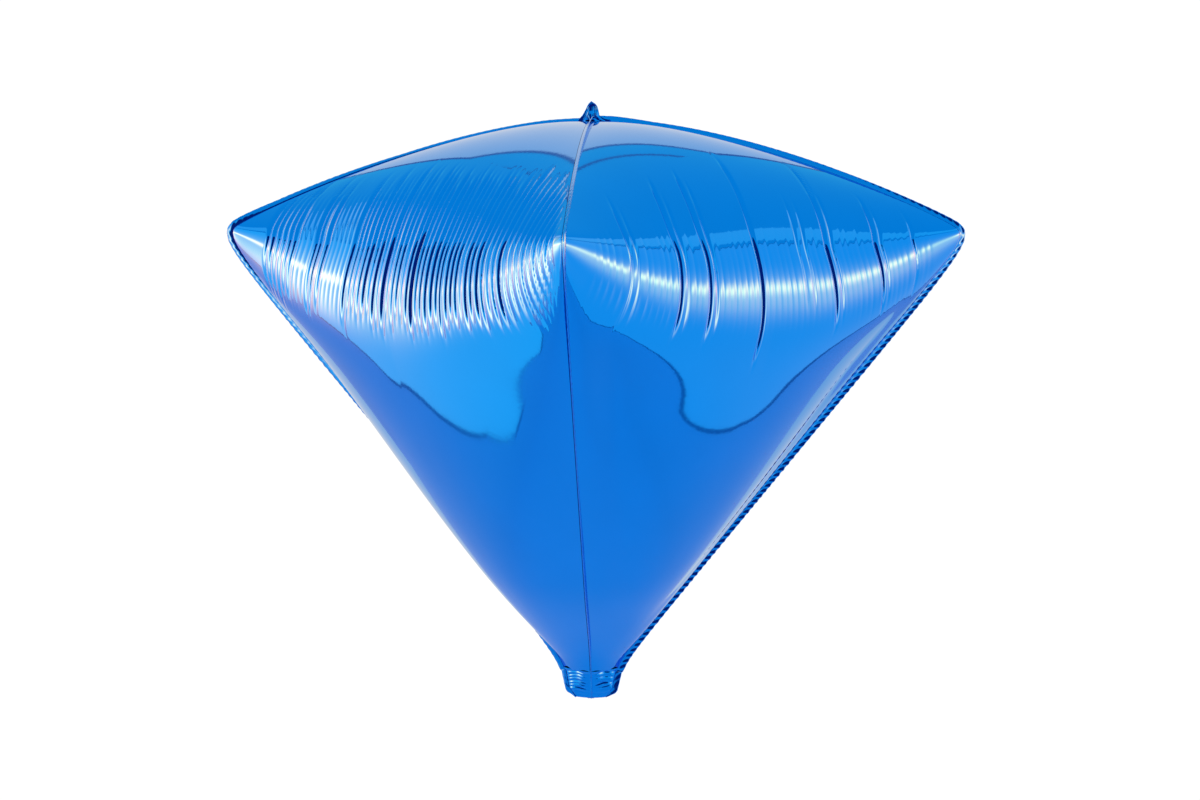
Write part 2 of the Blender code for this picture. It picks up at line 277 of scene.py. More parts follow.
def middle_line(along):
    """Reach and height of the line down the middle of a panel."""
    radius, height = seam_line(along, 0.0)
    pinch = MID_PINCH * (radius / CORNER_REACH) ** MID_PINCH_POWER
    crown_reach = radius * (MID_SHARE - pinch)
    crown_share = 1 - np.clip(crown_reach / BELLY_REACH, 0, 1) ** CROWN_POWER
    crown_height = CORNER_HEIGHT - BELLY_DROP + CROWN_RISE * crown_share ** (1 / CROWN_POWER)
    sagged = height - (1 - along) * (CORNER_SAG + LOBE_SAG * along)
    under_belly = CORNER_HEIGHT - BELLY_DROP - sagged
    over_share = 1 - np.clip(-under_belly / CROWN_RISE, 0, 1) ** CROWN_POWER
    keel_share = np.clip(1 - (np.clip(under_belly, 0, None) / KEEL_DEPTH) ** KEEL_POWER_DOWN, 0, 1)
    side_reach = np.where(under_belly <= 0, over_share ** (1 / CROWN_POWER),
                          keel_share ** (1 / KEEL_POWER_OUT))
    lower_reach = eased_max(BELLY_REACH * side_reach, KEEL_END_REACH, KEEL_END_EASE)
    reach = np.where(along <= 0, crown_reach, lower_reach)
    return reach, np.where(along <= 0, crown_height, sagged)


def panel_formula(across, along):
    """Points of the panel between the front and right seams, its middle turned to -Y."""
    side = np.abs(across)
    seam_radius, seam_height = seam_line(along, CORNER_ROUND + INNER_EASE * (1 - side))
    middle_reach, middle_height = middle_line(along)
    chord = seam_radius * ROOT_HALF
    crown = 1 - side ** CROWN_ACROSS
    swell = SWELL * np.exp(-(((along - SWELL_CENTRE) / SWELL_SPREAD) ** 2))
    reach = chord + (middle_reach - chord) * crown + swell * np.sqrt(1 - side) * side ** 1.5
    height = seam_height + (middle_height - seam_height) * crown
    return np.stack([across * chord, -reach, height], axis=-1)


IRON_REACH = 0.055            # along the film, to each side
IRON_STEPS = 7


def panel_surface(across, along):
    """The formula, ironed along the film: the mean of several points, closer together near a seam."""
    side = np.abs(across)
    room = np.minimum(1 - np.abs(along), IRON_REACH) * (1 - side ** 3)
    shares = [math.cos(math.pi * (step + 1) / (IRON_STEPS + 1)) for step in range(IRON_STEPS)]
    weights = [1 - share * share for share in shares]
    total = sum(weight * panel_formula(across, along + share * room)
                for share, weight in zip(shares, weights))
    return total / sum(weights)


def surface_normal(across, along, step=0.0015):
    right = panel_surface(np.clip(across + step, -1, 1), along)
    left = panel_surface(np.clip(across - step, -1, 1), along)
    upper = panel_surface(across, np.clip(along - step, -1, 1))
    lower = panel_surface(across, np.clip(along + step, -1, 1))
    normal = np.cross(right - left, upper - lower)
    return normal / np.linalg.norm(normal, axis=-1, keepdims=True)


def quarter_turn(points, degrees):
    return points @ np.array(Matrix.Rotation(math.radians(degrees), 3, "Z")).T


def pressed(points):
    """Moves the lower end towards the plane between front and back, as on the solids."""
    above = np.clip(points[:, 2] / PRESS_TOP, 0, 1)
    share = PRESS_END + (1 - PRESS_END) * (1 - (1 - above) ** 2)
    beyond = np.clip(np.abs(points[:, 1]) - FILM_HALF, 0, None)
    moved = points.copy()
    moved[:, 1] -= np.copysign(beyond * (1 - share), points[:, 1])
    return moved


print("belly point", panel_surface(np.array([0.0]), np.array([0.15])).round(4))

# %% [markdown]
# ## Folds
#
# Film doesn't stretch, so where the balloon bulges outwards the film has too much length from corner to
# corner and tucks it into folds. The folds run up and down, each in a plane square to the line from corner
# to corner, and stay within the belt round the widest part. A fold is a narrow valley between two round
# swellings, so its depth falls off from a narrow bottom in the shape of a cusp and fades out at both ends.
# They could also be simulated, but a plan of folds puts each one where a real balloon of this cut has it.

# %% Folds
FOLD_TOP = -0.38              # both along, as are the fades
FOLD_FOOT = 0.152
FOLD_TOP_FADE = 0.12
FOLD_FOOT_FADE = 0.05
FOLD_TIP = 0.20 * MM          # the valley's bottom is this round
LEAN_TOP = 0.3                # along, above the corner, where a fold has leant by its full lean
LEAN_POWER = 1.3


def fold_lines(across, along, lean, flare):
    """Place of each point along the line from corner to corner, in metres, following the folds."""
    radius, _ = seam_line(along)
    place = across * radius * ROOT_HALF
    above = np.clip(-along, 0, None)
    below = np.clip(along, 0, None)
    place = place + lean * (above / LEAN_TOP) ** LEAN_POWER
    return place / (1 + flare * (below / FOLD_FOOT) ** 2)


def fold_depth(place, along, folds):
    """Sum of the folds' depths, where folds are (place, top, foot, depth, width)."""
    depth = np.zeros_like(place)
    for centre, top, foot, deep, width in folds:
        near = np.abs(place - centre) < 1.3 * width
        offset = (np.hypot(place[near] - centre, FOLD_TIP) - FOLD_TIP) / width
        begun = smooth_step(along[near], top, top + FOLD_TOP_FADE)
        ended = smooth_step(along[near], foot - FOLD_FOOT_FADE, foot)
        depth[near] += deep * np.clip(1 - offset, 0, 1) ** 2 * begun * (1 - ended)
    return depth


CALM_SHARE = 0.18
DEPTH_SPREAD = (0.65, 1.2)
WIDTH_SPREAD = (0.52, 0.62)   # half width, as a share of the pitch
PITCH_SPREAD = (0.86, 1.14)
FOOT_SPREAD = 0.012
TOP_SPREAD = 0.10


def regular_folds(seed, pitch, depth, first, last, calm=(), top=FOLD_TOP):
    """A belt of folds a pitch apart, shallower inside each calm stretch."""
    draw = random.Random(seed)
    folds = []
    centre = first
    while centre < last:
        share = CALM_SHARE if any(low < centre < high for low, high in calm) else 1.0
        deep = depth * share * draw.uniform(*DEPTH_SPREAD)
        foot = FOLD_FOOT + draw.uniform(-FOOT_SPREAD, FOOT_SPREAD)
        head = top + draw.uniform(0.0, TOP_SPREAD)
        folds.append((centre, head, foot, deep, pitch * draw.uniform(*WIDTH_SPREAD)))
        centre += pitch * draw.uniform(*PITCH_SPREAD)
    return folds


# Each fold apart from the regular ones: place in metres, top and foot along, depth and half width
FOLD_PLANS = {
    "panel_front_left": dict(
        lean=0.013, flare=0.06,
        folds=regular_folds(11, 5.7 * MM, 1.40 * MM, -0.149, 0.180,
                            calm=((-0.114, -0.100), (-0.081, -0.056)))
        + [(-0.118, -0.20, 0.15, 0.9 * MM, 2.6 * MM), (-0.092, -0.22, 0.16, 1.2 * MM, 2.8 * MM),
           (-0.050, -0.34, 0.17, 1.2 * MM, 3.0 * MM), (-0.005, -0.38, 0.17, 1.3 * MM, 3.0 * MM),
           (0.028, -0.36, 0.17, 1.0 * MM, 2.8 * MM), (0.060, -0.36, 0.17, 0.8 * MM, 2.8 * MM)]),
    "panel_front_right": dict(
        lean=-0.013, flare=0.06,
        folds=regular_folds(5, 5.3 * MM, 0.15 * MM, -0.160, 0.160, top=-0.11)
        + [(-0.130, -0.21, 0.160, 0.7 * MM, 2.6 * MM), (-0.1245, -0.16, 0.155, 0.5 * MM, 2.4 * MM),
           (-0.087, -0.29, 0.165, 1.3 * MM, 2.6 * MM), (-0.0815, -0.22, 0.155, 0.6 * MM, 2.4 * MM),
           (-0.061, -0.33, 0.170, 1.3 * MM, 2.6 * MM), (-0.0552, -0.28, 0.160, 0.7 * MM, 2.4 * MM),
           (-0.011, -0.42, 0.220, 1.6 * MM, 2.7 * MM),
           (0.032, -0.22, 0.130, 0.4 * MM, 2.4 * MM), (0.040, -0.20, 0.130, 0.4 * MM, 2.4 * MM),
           (0.061, -0.40, 0.170, 1.4 * MM, 2.6 * MM), (0.067, -0.26, 0.155, 0.6 * MM, 2.4 * MM),
           (0.109, -0.22, 0.155, 1.3 * MM, 2.5 * MM), (0.1145, -0.16, 0.140, 0.6 * MM, 2.4 * MM),
           (0.144, -0.14, 0.140, 0.8 * MM, 2.4 * MM)]),
    "panel_back_left": dict(
        lean=-0.013, flare=0.06,
        folds=regular_folds(23, 5.5 * MM, 0.40 * MM, -0.155, 0.165,
                            calm=((-0.030, 0.020), (0.090, 0.120)))
        + [(-0.075, -0.36, 0.16, 1.0 * MM, 2.8 * MM), (0.040, -0.30, 0.15, 0.9 * MM, 2.8 * MM)]),
    "panel_back_right": dict(
        lean=0.013, flare=0.06,
        folds=regular_folds(31, 5.6 * MM, 0.35 * MM, -0.160, 0.160, calm=((-0.110, -0.060),))
        + [(-0.030, -0.38, 0.17, 1.1 * MM, 2.8 * MM), (0.085, -0.30, 0.15, 0.9 * MM, 2.8 * MM)]),
}
print({name: len(plan["folds"]) for name, plan in FOLD_PLANS.items()})

# %% [markdown]
# ## Panels
#
# Each panel starts as a flat grid and is carried onto the surface, row by row, then pushed in along its own
# normal where a fold runs. The rows lie closer together round the widest part, where the film turns
# fastest, and the columns run beside the folds, because a narrow valley that crosses from one column to
# the next turns into a row of dots. Real displacement is used for the folds, since bump alone would leave a
# mirror's outline flat.

# %% Grids carried onto a shape
def shaped_grid(columns, rows, place_at):
    """A grid mesh whose points are place_at(u, v), with u and v from -1 to 1."""
    bm = bmesh.new()
    bmesh.ops.create_grid(bm, x_segments=columns, y_segments=rows, size=1.0)
    mesh = bpy.data.meshes.new("shaped_grid")
    bm.to_mesh(mesh)
    bm.free()
    flat = np.empty(len(mesh.vertices) * 3)
    mesh.vertices.foreach_get("co", flat)
    flat = np.clip(flat.reshape(-1, 3), -1, 1)
    mesh.vertices.foreach_set("co", place_at(flat[:, 0], flat[:, 1]).ravel())
    mesh.update()
    return mesh


def dress(name, mesh, material, node):
    """Makes a finished piece of a mesh, in place of a node of the solids."""
    mesh.name = name
    mesh.materials.append(material)
    mesh.shade_smooth()
    piece = bpy.data.objects.new(name, mesh)
    bpy.context.scene.collection.objects.link(piece)
    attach(piece, "root")
    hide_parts(node)
    print(name, "triangles", triangle_count(piece))


def face_outwards(mesh, centre):
    """Flips a sheet whose middle face looks towards the centre."""
    face = mesh.polygons[len(mesh.polygons) // 2]
    if face.normal.dot(face.center - Vector(centre)) < 0:
        mesh.flip_normals()


# %% Panels
# Turn in degrees, columns and rows
PANEL_GRIDS = {"panel_front_right": (45, 890, 108), "panel_back_right": (135, 600, 90),
               "panel_back_left": (225, 600, 90), "panel_front_left": (315, 890, 108)}
ROW_SPACING = (0.55, 0.45)    # even share and crowded share of the rows
MOST_STRETCH = 1.22
FOLD_MARGIN = 0.012           # the folds fade out over this distance from a seam


def beside_folds(u, along, flare):
    """Place across, so that a column of points runs beside the folds instead of crossing them."""
    radius, _ = seam_line(along)
    widest, _ = seam_line(np.zeros(1))
    opened = 1 + flare * (np.clip(along, 0, None) / FOLD_FOOT) ** 2
    stretch = np.clip(widest * opened / radius, 1, MOST_STRETCH)
    return stretch * u - (stretch - 1) * u ** 5


# How far the lower half of a panel lies inside its even shape, by the panel's turn, so that the right
# edge shows beside it. It starts and ends along the film, and grows over a distance from the seam.
TIGHTENING = {45: 4.4 * MM, 135: 4.4 * MM, 225: 0.0, 315: 0.0}
TIGHT_START = (0.03, 0.30)
TIGHT_END = (0.80, 0.97)
TIGHT_MARGIN = 0.030


def panel_points(u, v, degrees, plan):
    """Points of a panel: u runs across from seam to seam, v down the film from the apex."""
    along = -v * (ROW_SPACING[0] + ROW_SPACING[1] * np.abs(v))
    u = beside_folds(u, along, plan["flare"])
    points = panel_surface(u, along)
    normals = surface_normal(u, along)
    place = fold_lines(u, along, plan["lean"], plan["flare"])
    radius, _ = seam_line(along)
    to_seam = (1 - np.abs(u)) * radius * ROOT_HALF
    depth = fold_depth(place, along, plan["folds"]) * smooth_step(to_seam, 0.0, FOLD_MARGIN)
    lower = smooth_step(along, *TIGHT_START) * (1 - smooth_step(along, *TIGHT_END))
    depth += TIGHTENING[degrees] * lower * smooth_step(to_seam, 0.0, TIGHT_MARGIN)
    points -= normals * depth[:, None]
    points[:, 0] -= u * FILM_HALF * ROOT_HALF
    points[:, 1] -= u ** 4 * FILM_HALF * ROOT_HALF
    return pressed(quarter_turn(points, degrees))


for panel_name, (panel_turn, panel_columns, panel_rows) in PANEL_GRIDS.items():
    panel_mesh = shaped_grid(panel_columns, panel_rows,
                             lambda u, v: panel_points(u, v, panel_turn, FOLD_PLANS[panel_name]))
    face_outwards(panel_mesh, (0, 0, CORNER_HEIGHT - BELLY_DROP))
    dress(panel_name + "_film", panel_mesh, panel_film, panel_name)

# %% [markdown]
# ## Sealed edges
#
# Outside the seal the two films lie flat on each other and keep their full length, while the seam itself
# is drawn shorter by the folds beside it. The spare length stands up as small slanting gathers, like the
# lay of a rope, strongest below the corners. The pressure also tips the edge over to one side or the other.

# %% Seal line of a seam
APEX_TUCK = 3.5 * MM          # the edges end this far from the axis, inside the tab
PATH_START = -1.012           # along, just inside the apex
PATH_SAMPLES = 6000
SMOOTHED_SAMPLES = 60


def neck_seam_radius(height):
    lower = NECK_END_RADIUS + (NECK_HEEL_RADIUS - NECK_END_RADIUS) * height / NECK_HEEL_HEIGHT
    share = (height - NECK_HEEL_HEIGHT) / (NECK_LENGTH - NECK_HEEL_HEIGHT)
    upper = NECK_HEEL_RADIUS + (NECK_TOP_RADIUS - NECK_HEEL_RADIUS) * share
    return np.where(height < NECK_HEEL_HEIGHT, lower, upper)


def seal_path():
    """Evenly spaced points (radius, height) of the seal line, from the apex to the neck's lower end."""
    radius, height = seam_line(np.linspace(PATH_START, 1.0, PATH_SAMPLES))
    neck_height = np.linspace(NECK_LENGTH, 0.0, PATH_SAMPLES // 20)[1:]
    inwards = np.linspace(APEX_TUCK, radius[0], PATH_SAMPLES // 60)[:-1]
    path = np.concatenate([np.stack([inwards, np.full_like(inwards, height[0])], 1),
                           np.stack([radius, height], 1),
                           np.stack([neck_seam_radius(neck_height), neck_height], 1)])
    run = np.concatenate([[0], np.cumsum(np.linalg.norm(np.diff(path, axis=0), axis=1))])
    even = np.linspace(0, run[-1], PATH_SAMPLES)
    return even, np.stack([np.interp(even, run, path[:, 0]), np.interp(even, run, path[:, 1])], 1)


def outward_directions(path):
    """Direction square to the path at each of its points, smoothed round the corner."""
    out = np.stack([-np.gradient(path[:, 1]), np.gradient(path[:, 0])], 1)
    weights = np.hanning(SMOOTHED_SAMPLES) / np.hanning(SMOOTHED_SAMPLES).sum()
    margin = SMOOTHED_SAMPLES // 2
    padded = [np.pad(axis, margin, mode="edge") for axis in out.T]
    out = np.stack([np.convolve(axis, weights, "same")[margin:-margin] for axis in padded], 1)
    return out / np.linalg.norm(out, axis=1, keepdims=True)


SEAL_RUN, SEAL_PATH = seal_path()
SEAL_OUT = outward_directions(SEAL_PATH)
CORNER_RUN = SEAL_RUN[np.argmax(SEAL_PATH[:, 0])]
NECK_RUN = SEAL_RUN[-1] - NECK_LENGTH
HEEL_RUN = SEAL_RUN[-1] - NECK_HEEL_HEIGHT
print("seam length", round(SEAL_RUN[-1], 3), "corner at", round(CORNER_RUN, 3))

# %% Edge pieces
EDGE_COLUMNS = 1300
EDGE_ROWS = 9
GATHER_PITCH = 5.6 * MM
GATHER_SLANT = 0.9            # turns of the wave across the edge
GATHER_POWER = 0.8            # how soon the wave grows from the seal outwards
WANDER_LENGTHS = (0.031, 0.0127)
WANDERS = (1.7, 1.1)          # radians by which the wave runs ahead and behind
UNEVEN_LENGTHS = (0.0087, 0.0231)
UNEVEN_SHARE = 0.45
LEAN_STARTS = (-0.05, 0.25)   # share of the width over which the edge bends to its lean
EDGE_INSIDE = 0.4 * MM        # reach inside the seal, under the panels


def edge_points(u, v, degrees, plan):
    """Points of a sealed edge: u runs from the apex to the neck, v from the seal outwards."""
    run = (u + 1) / 2 * SEAL_RUN[-1]
    place = np.stack([np.interp(run, SEAL_RUN, column) for column in SEAL_PATH.T], 1)
    out = np.stack([np.interp(run, SEAL_RUN, column) for column in SEAL_OUT.T], 1)
    out /= np.linalg.norm(out, axis=1, keepdims=True)
    below = run - CORNER_RUN
    width = FLANGE_WIDTH * np.interp(run, *plan["width"])
    lean = np.radians(np.interp(below, *plan["lean"]))
    gathers = MM * np.interp(below, *plan["gathers"])
    share = (v + 1) / 2
    reach = share * (width + EDGE_INSIDE) - EDGE_INSIDE
    free = np.clip(reach / width, 0, 1)
    wander = WANDERS[0] * np.sin(run / WANDER_LENGTHS[0] + plan["phase"])
    wander += WANDERS[1] * np.sin(run / WANDER_LENGTHS[1] + 2 * plan["phase"])
    wave = np.sin(2 * math.pi * (run / GATHER_PITCH + GATHER_SLANT * free) + wander)
    swing = np.sin(run / UNEVEN_LENGTHS[0] + plan["phase"]) * np.sin(run / UNEVEN_LENGTHS[1])
    ripple = gathers * wave * (1 + UNEVEN_SHARE * swing) * free ** GATHER_POWER
    lift = ripple + plan["bow"] * MM * np.sin(math.pi * free)
    lean = lean * smooth_step(free, *LEAN_STARTS)
    outward = reach * np.cos(lean) - lift * np.sin(lean)
    sideways = reach * np.sin(lean) * (reach > 0) + lift * np.cos(lean)
    radius = place[:, 0] + out[:, 0] * outward
    height = place[:, 1] + out[:, 1] * outward
    return pressed(quarter_turn(np.stack([sideways, -radius, height], 1), degrees))


def with_thickness(mesh, thickness):
    """Thickens a sheet to both sides into a closed film."""
    bm = bmesh.new()
    bm.from_mesh(mesh)
    bmesh.ops.solidify(bm, geom=bm.faces[:], thickness=thickness)
    bmesh.ops.recalc_face_normals(bm, faces=bm.faces)
    bm.to_mesh(mesh)
    bm.free()
    return mesh


# Width as a share of the flange's, by the distance from the apex
FULL_WIDTH = ([0, 0.012, 0.030, NECK_RUN, HEEL_RUN, SEAL_RUN[-1]], [0.9, 0.9, 1.0, 1.0, 0.88, 0.15])
RIGHT_WIDTH = ([0, 0.012, 0.040, NECK_RUN, HEEL_RUN, SEAL_RUN[-1]], [1.25, 1.3, 0.95, 1.05, 0.9, 0.15])
# Lean in degrees and gathers in mm, by the distance in metres below the corner, and bow in mm
EDGE_PLANS = {
    "seam_front": dict(turn=0, phase=0.4, width=FULL_WIDTH, bow=0.60,
                       lean=([-0.25, -0.03, 0.04, 0.40], [38, 36, 13, 12]),
                       gathers=([-0.25, -0.02, 0.10, 0.40], [0.05, 0.08, 0.22, 0.10])),
    "seam_right": dict(turn=90, phase=1.9, width=RIGHT_WIDTH, bow=0.45,
                       lean=([-0.25, -0.10, -0.01, 0.05, 0.40], [40, 40, 28, 13, 12]),
                       gathers=([-0.25, -0.03, 0.03, 0.25, 0.36, 0.44],
                                [0.06, 0.10, 0.38, 0.54, 0.44, 0.12])),
    "seam_back": dict(turn=180, phase=3.1, width=FULL_WIDTH, bow=0.35,
                      lean=([-0.25, 0.0, 0.40], [-12, -20, -15]),
                      gathers=([-0.25, 0.0, 0.15, 0.40], [0.08, 0.15, 0.38, 0.15])),
    "seam_left": dict(turn=270, phase=4.6, width=FULL_WIDTH, bow=0.60,
                      lean=([-0.25, -0.14, -0.04, 0.0, 0.05, 0.20, 0.40],
                            [-48, -68, -45, -15, -25, -60, -40]),
                      gathers=([-0.25, -0.03, 0.05, 0.30, 0.40], [0.05, 0.10, 0.18, 0.22, 0.15])),
}

for edge_name, edge_plan in EDGE_PLANS.items():
    edge_mesh = shaped_grid(EDGE_COLUMNS, EDGE_ROWS,
                            lambda u, v: edge_points(u, v, edge_plan["turn"], edge_plan))
    dress(edge_name + "_edge", with_thickness(edge_mesh, 2 * FILM_HALF), seal_film, edge_name)

# %% [markdown]
# ## Hanging tab
#
# At the apex the four edges are gathered into a small pleated tab with a pressed ring for a thread. It is a
# double leaf of film: pleats fan out from under the ring to the foot, where they spill over the panels.

# %% Hanging tab
TAB_HEIGHT = TAB_RISE + 0.3 * MM
TAB_DEPTH = 3.0 * MM
RING_WIDTH = 3.1 * MM
RING_WIRE = 0.55 * MM
RING_OFFSET = 0.5 * MM        # one ring on each face of the tab
RING_PLACE = Vector((0.7 * MM, 0, APEX_HEIGHT + TAB_RISE - 5.0 * MM))
LEAF_HALF = 0.6 * MM          # half the thickness of the double leaf at its top
PLEATS = (9, 15)              # coarse and fine pleats, to a turn round the tab
PLEAT_DEPTHS = (0.26, 0.16)
SPILLS = 7                    # places where the foot hangs lower
SPILL_DROP = 2.0 * MM
FOOT_TUCK = 0.5 * MM
# Half widths in mm at heights in mm above the foot, left and right of the tip
TAB_LEFT = ([0, 2.2, 5.0, 7.2, 9.4, 11.6, 13.4, 15.1], [9.6, 8.3, 6.4, 5.2, 4.0, 3.0, 1.9, 0.1])
TAB_RIGHT = ([0, 1.2, 3.0, 4.6, 7.2, 9.4, 11.6, 13.4, 15.1], [14.0, 10.0, 7.6, 6.0, 5.5, 5.0, 4.3, 2.6, 0.1])


def tab_points(u, v):
    """Closed sleeve: u runs once round the tab, v from its foot to its tip."""
    angle = math.pi * u
    share = (v + 1) / 2
    rise = share * TAB_HEIGHT / MM
    left, right = np.interp(rise, *TAB_LEFT) * MM, np.interp(rise, *TAB_RIGHT) * MM
    depth = TAB_DEPTH * (1 - share) ** 1.3 + LEAF_HALF * np.sqrt(np.clip(1 - share ** 6, 0, 1))
    coarse = PLEAT_DEPTHS[0] * np.cos(PLEATS[0] * angle + 0.6)
    fine = PLEAT_DEPTHS[1] * np.cos(PLEATS[1] * angle + 3 * share)
    pleat = 1 + (1 - share) ** 0.6 * (coarse + fine)
    across = (right - left) / 2 + (right + left) / 2 * np.cos(angle)
    gap = np.hypot(across - RING_PLACE.x, APEX_HEIGHT + share * TAB_HEIGHT - RING_PLACE.z)
    dent = LEAF_HALF * np.exp(-(gap / RING_WIDTH) ** 4)
    away = depth * np.sin(angle) * pleat - np.sign(np.sin(angle)) * dent
    drop = SPILL_DROP * (1 - share) ** 4 * np.cos(SPILLS * angle + 1.0) - FOOT_TUCK
    return np.stack([across, away, APEX_HEIGHT + share * TAB_HEIGHT + drop], 1)


def add_ring(bm, centre, radius, wire, sides=40, wire_sides=10):
    """Adds a closed round ring that stands in the plane of the tab."""
    circle = bmesh.ops.create_circle(bm, segments=wire_sides, radius=wire,
                                     matrix=Matrix.Translation(centre + Vector((radius, 0, 0))))
    edges = [edge for edge in bm.edges if all(vert in circle["verts"] for vert in edge.verts)]
    bmesh.ops.spin(bm, geom=circle["verts"] + edges, cent=centre, axis=(0, 1, 0), angle=2 * math.pi,
                   steps=sides, use_merge=True)


tab_mesh = shaped_grid(120, 40, tab_points)
tab_bm = bmesh.new()
tab_bm.from_mesh(tab_mesh)
bmesh.ops.remove_doubles(tab_bm, verts=tab_bm.verts, dist=0.02 * MM)
bmesh.ops.holes_fill(tab_bm, edges=[edge for edge in tab_bm.edges if edge.is_boundary], sides=0)
for side in (-1, 1):
    add_ring(tab_bm, RING_PLACE + Vector((0, side * RING_OFFSET, 0)), RING_WIDTH, RING_WIRE)
bmesh.ops.remove_doubles(tab_bm, verts=tab_bm.verts, dist=0.002 * MM)
bmesh.ops.recalc_face_normals(tab_bm, faces=tab_bm.faces)
tab_bm.to_mesh(tab_mesh)
tab_bm.free()
dress("hang_tab_film", tab_mesh, neck_film, "hang_tab")

# %% [markdown]
# ## Neck
#
# The neck is the filling tail. The panels run down into it and are pressed flat round the valve, so it is
# shorter than the film that went into it and creases straight across, each side in its own way.

# %% Neck
NECK_OVERLAP = 0.6 * MM
FACE_DIP_TOP = 0.24           # how far a side lies inside the seams, as a share of their radius
FACE_DIP_END = 0.12
COLLAR_RISE = 1.2 * MM        # the top of the neck opens out under the panels
COLLAR_START = 0.85
# Creases of each side in mm: height, depth, half width, bow and slant
CREASES = {
    0: [(21.6, 1.2, 0.8, -0.5, 0.2), (17.6, 0.7, 0.7, -0.6, -0.8), (12.6, 1.2, 0.9, -0.8, 1.2),
        (10.2, 0.5, 0.6, 0.4, 1.6), (7.0, 0.5, 0.7, -0.3, -0.4), (4.4, 0.6, 0.6, 0.6, 1.5),
        (2.0, 0.5, 0.5, 0, 0.6)],
    1: [(21.6, 0.9, 0.8, 0.4, -0.2), (16.0, 0.6, 0.7, -0.5, 0.5), (9.0, 0.7, 0.8, 0.5, -0.6),
        (4.0, 0.6, 0.7, 0, 0)],
    2: [(21.6, 0.9, 0.8, -0.4, 0.2), (15.0, 0.6, 0.7, 0.5, 0.5), (10.5, 0.7, 0.8, -0.5, -0.6),
        (4.5, 0.6, 0.7, 0, 0)],
    3: [(21.6, 0.9, 0.7, -0.5, 0.3), (18.8, 0.7, 0.6, -0.9, 0.5), (16.4, 0.5, 0.6, -0.8, 0.3),
        (13.6, 1.0, 0.7, -0.7, 0.2), (11.2, 0.8, 0.6, -0.6, 0.3), (8.6, 1.1, 0.7, -0.5, -0.5),
        (5.6, 0.8, 0.7, -0.4, -1.0), (2.6, 0.5, 0.5, 0.0, -0.4)],
}


def neck_points(u, v):
    """Closed tube: u runs once round from the front seam, v from the lower end to the top."""
    turn = 2 * (u + 1)
    side = np.clip(np.floor(turn), 0, 3).astype(int)
    within = turn - side
    height = (v + 1) / 2 * (NECK_LENGTH + NECK_OVERLAP)
    share = height / NECK_LENGTH
    to_face = np.sin(math.pi * within) ** 2
    dip = FACE_DIP_END + (FACE_DIP_TOP - FACE_DIP_END) * np.clip(share, 0, 1) ** 2
    collar = np.clip((share - COLLAR_START) / (1 - COLLAR_START), 0, 1)
    radius = neck_seam_radius(height) + COLLAR_RISE * collar ** 2
    radius = radius * (1 - dip * to_face)
    for face, creases in CREASES.items():
        here = side == face
        for middle, deep, wide, bow, slant in creases:
            crease = middle * MM + bow * MM * np.cos(2 * math.pi * within) + slant * MM * (within - 0.5)
            gap = (height - crease) / (wide * MM)
            radius = radius - here * deep * MM * np.exp(-gap * gap) * np.sin(math.pi * within) ** 0.7
    angle = -math.pi / 2 + turn * math.pi / 2
    return pressed(np.stack([radius * np.cos(angle), radius * np.sin(angle), height], 1))


neck_mesh = shaped_grid(240, 110, neck_points)
neck_bm = bmesh.new()
neck_bm.from_mesh(neck_mesh)
bmesh.ops.remove_doubles(neck_bm, verts=neck_bm.verts, dist=0.01 * MM)
foot_edges = [edge for edge in neck_bm.edges if edge.is_boundary and edge.verts[0].co.z < 1 * MM]
bmesh.ops.holes_fill(neck_bm, edges=foot_edges, sides=0)
bmesh.ops.recalc_face_normals(neck_bm, faces=neck_bm.faces)
neck_bm.to_mesh(neck_mesh)
neck_bm.free()
dress("neck_film", neck_mesh, neck_film, "neck")

# %% [markdown]
# ## Valve film
#
# A flat tube of clear film inside the neck closes by itself once the balloon is full. Only its end shows, as
# a small tongue below the neck, drawn in an opaque dark navy in place of the clear film's own look.

# %% Valve film
LIP_WIDTH = 5.0 * MM
LIP_THICK = 0.5 * MM
LIP_DROP = 1.2 * MM
LIP_OVERLAP = 0.6 * MM
LIP_ROUND = 0.12 * MM

# The clear valve film is drawn as an opaque dark navy tongue.
valve_material, valve_tree = new_material("valve_tongue_dark_navy")
valve_shader = add_node(valve_tree, "ShaderNodeBsdfPrincipled",
                        {"Base Color": linear(TONGUE_DARK_NAVY), "Roughness": 0.3, "IOR": 1.5})
add_node(valve_tree, "ShaderNodeOutputMaterial", {"Surface": valve_shader.outputs["BSDF"]})
lip_bm = bmesh.new()
bmesh.ops.create_cube(lip_bm, size=1.0)
bmesh.ops.scale(lip_bm, vec=(LIP_WIDTH, LIP_THICK, LIP_DROP + LIP_OVERLAP), verts=lip_bm.verts)
bmesh.ops.translate(lip_bm, vec=(0, 0, (LIP_OVERLAP - LIP_DROP) / 2), verts=lip_bm.verts)
bmesh.ops.bevel(lip_bm, geom=lip_bm.edges[:], offset=LIP_ROUND, segments=2, profile=0.5, affect="EDGES",
                material=-1)
lip_mesh = bpy.data.meshes.new("valve_lip_film")
lip_bm.to_mesh(lip_mesh)
lip_bm.free()
dress("valve_lip_film", lip_mesh, valve_material, "valve_lip")

# %% [markdown]
# ## Studio
#
# A mirror shows the room, so the studio matters as much as the film. It is a pale floor, an evenly lit
# back wall, a large white board on each side, leaning in at its foot, with soft lamps in front of it, a
# dark curtain behind the camera and a blue ceiling. Each board has a dark frame behind its edge, which
# draws the thin dark line round the bright shapes in the film. The white backdrop is for the camera alone.
# Blue film drinks nearly all red light, so only a warm lamp leaves a white glint in it.

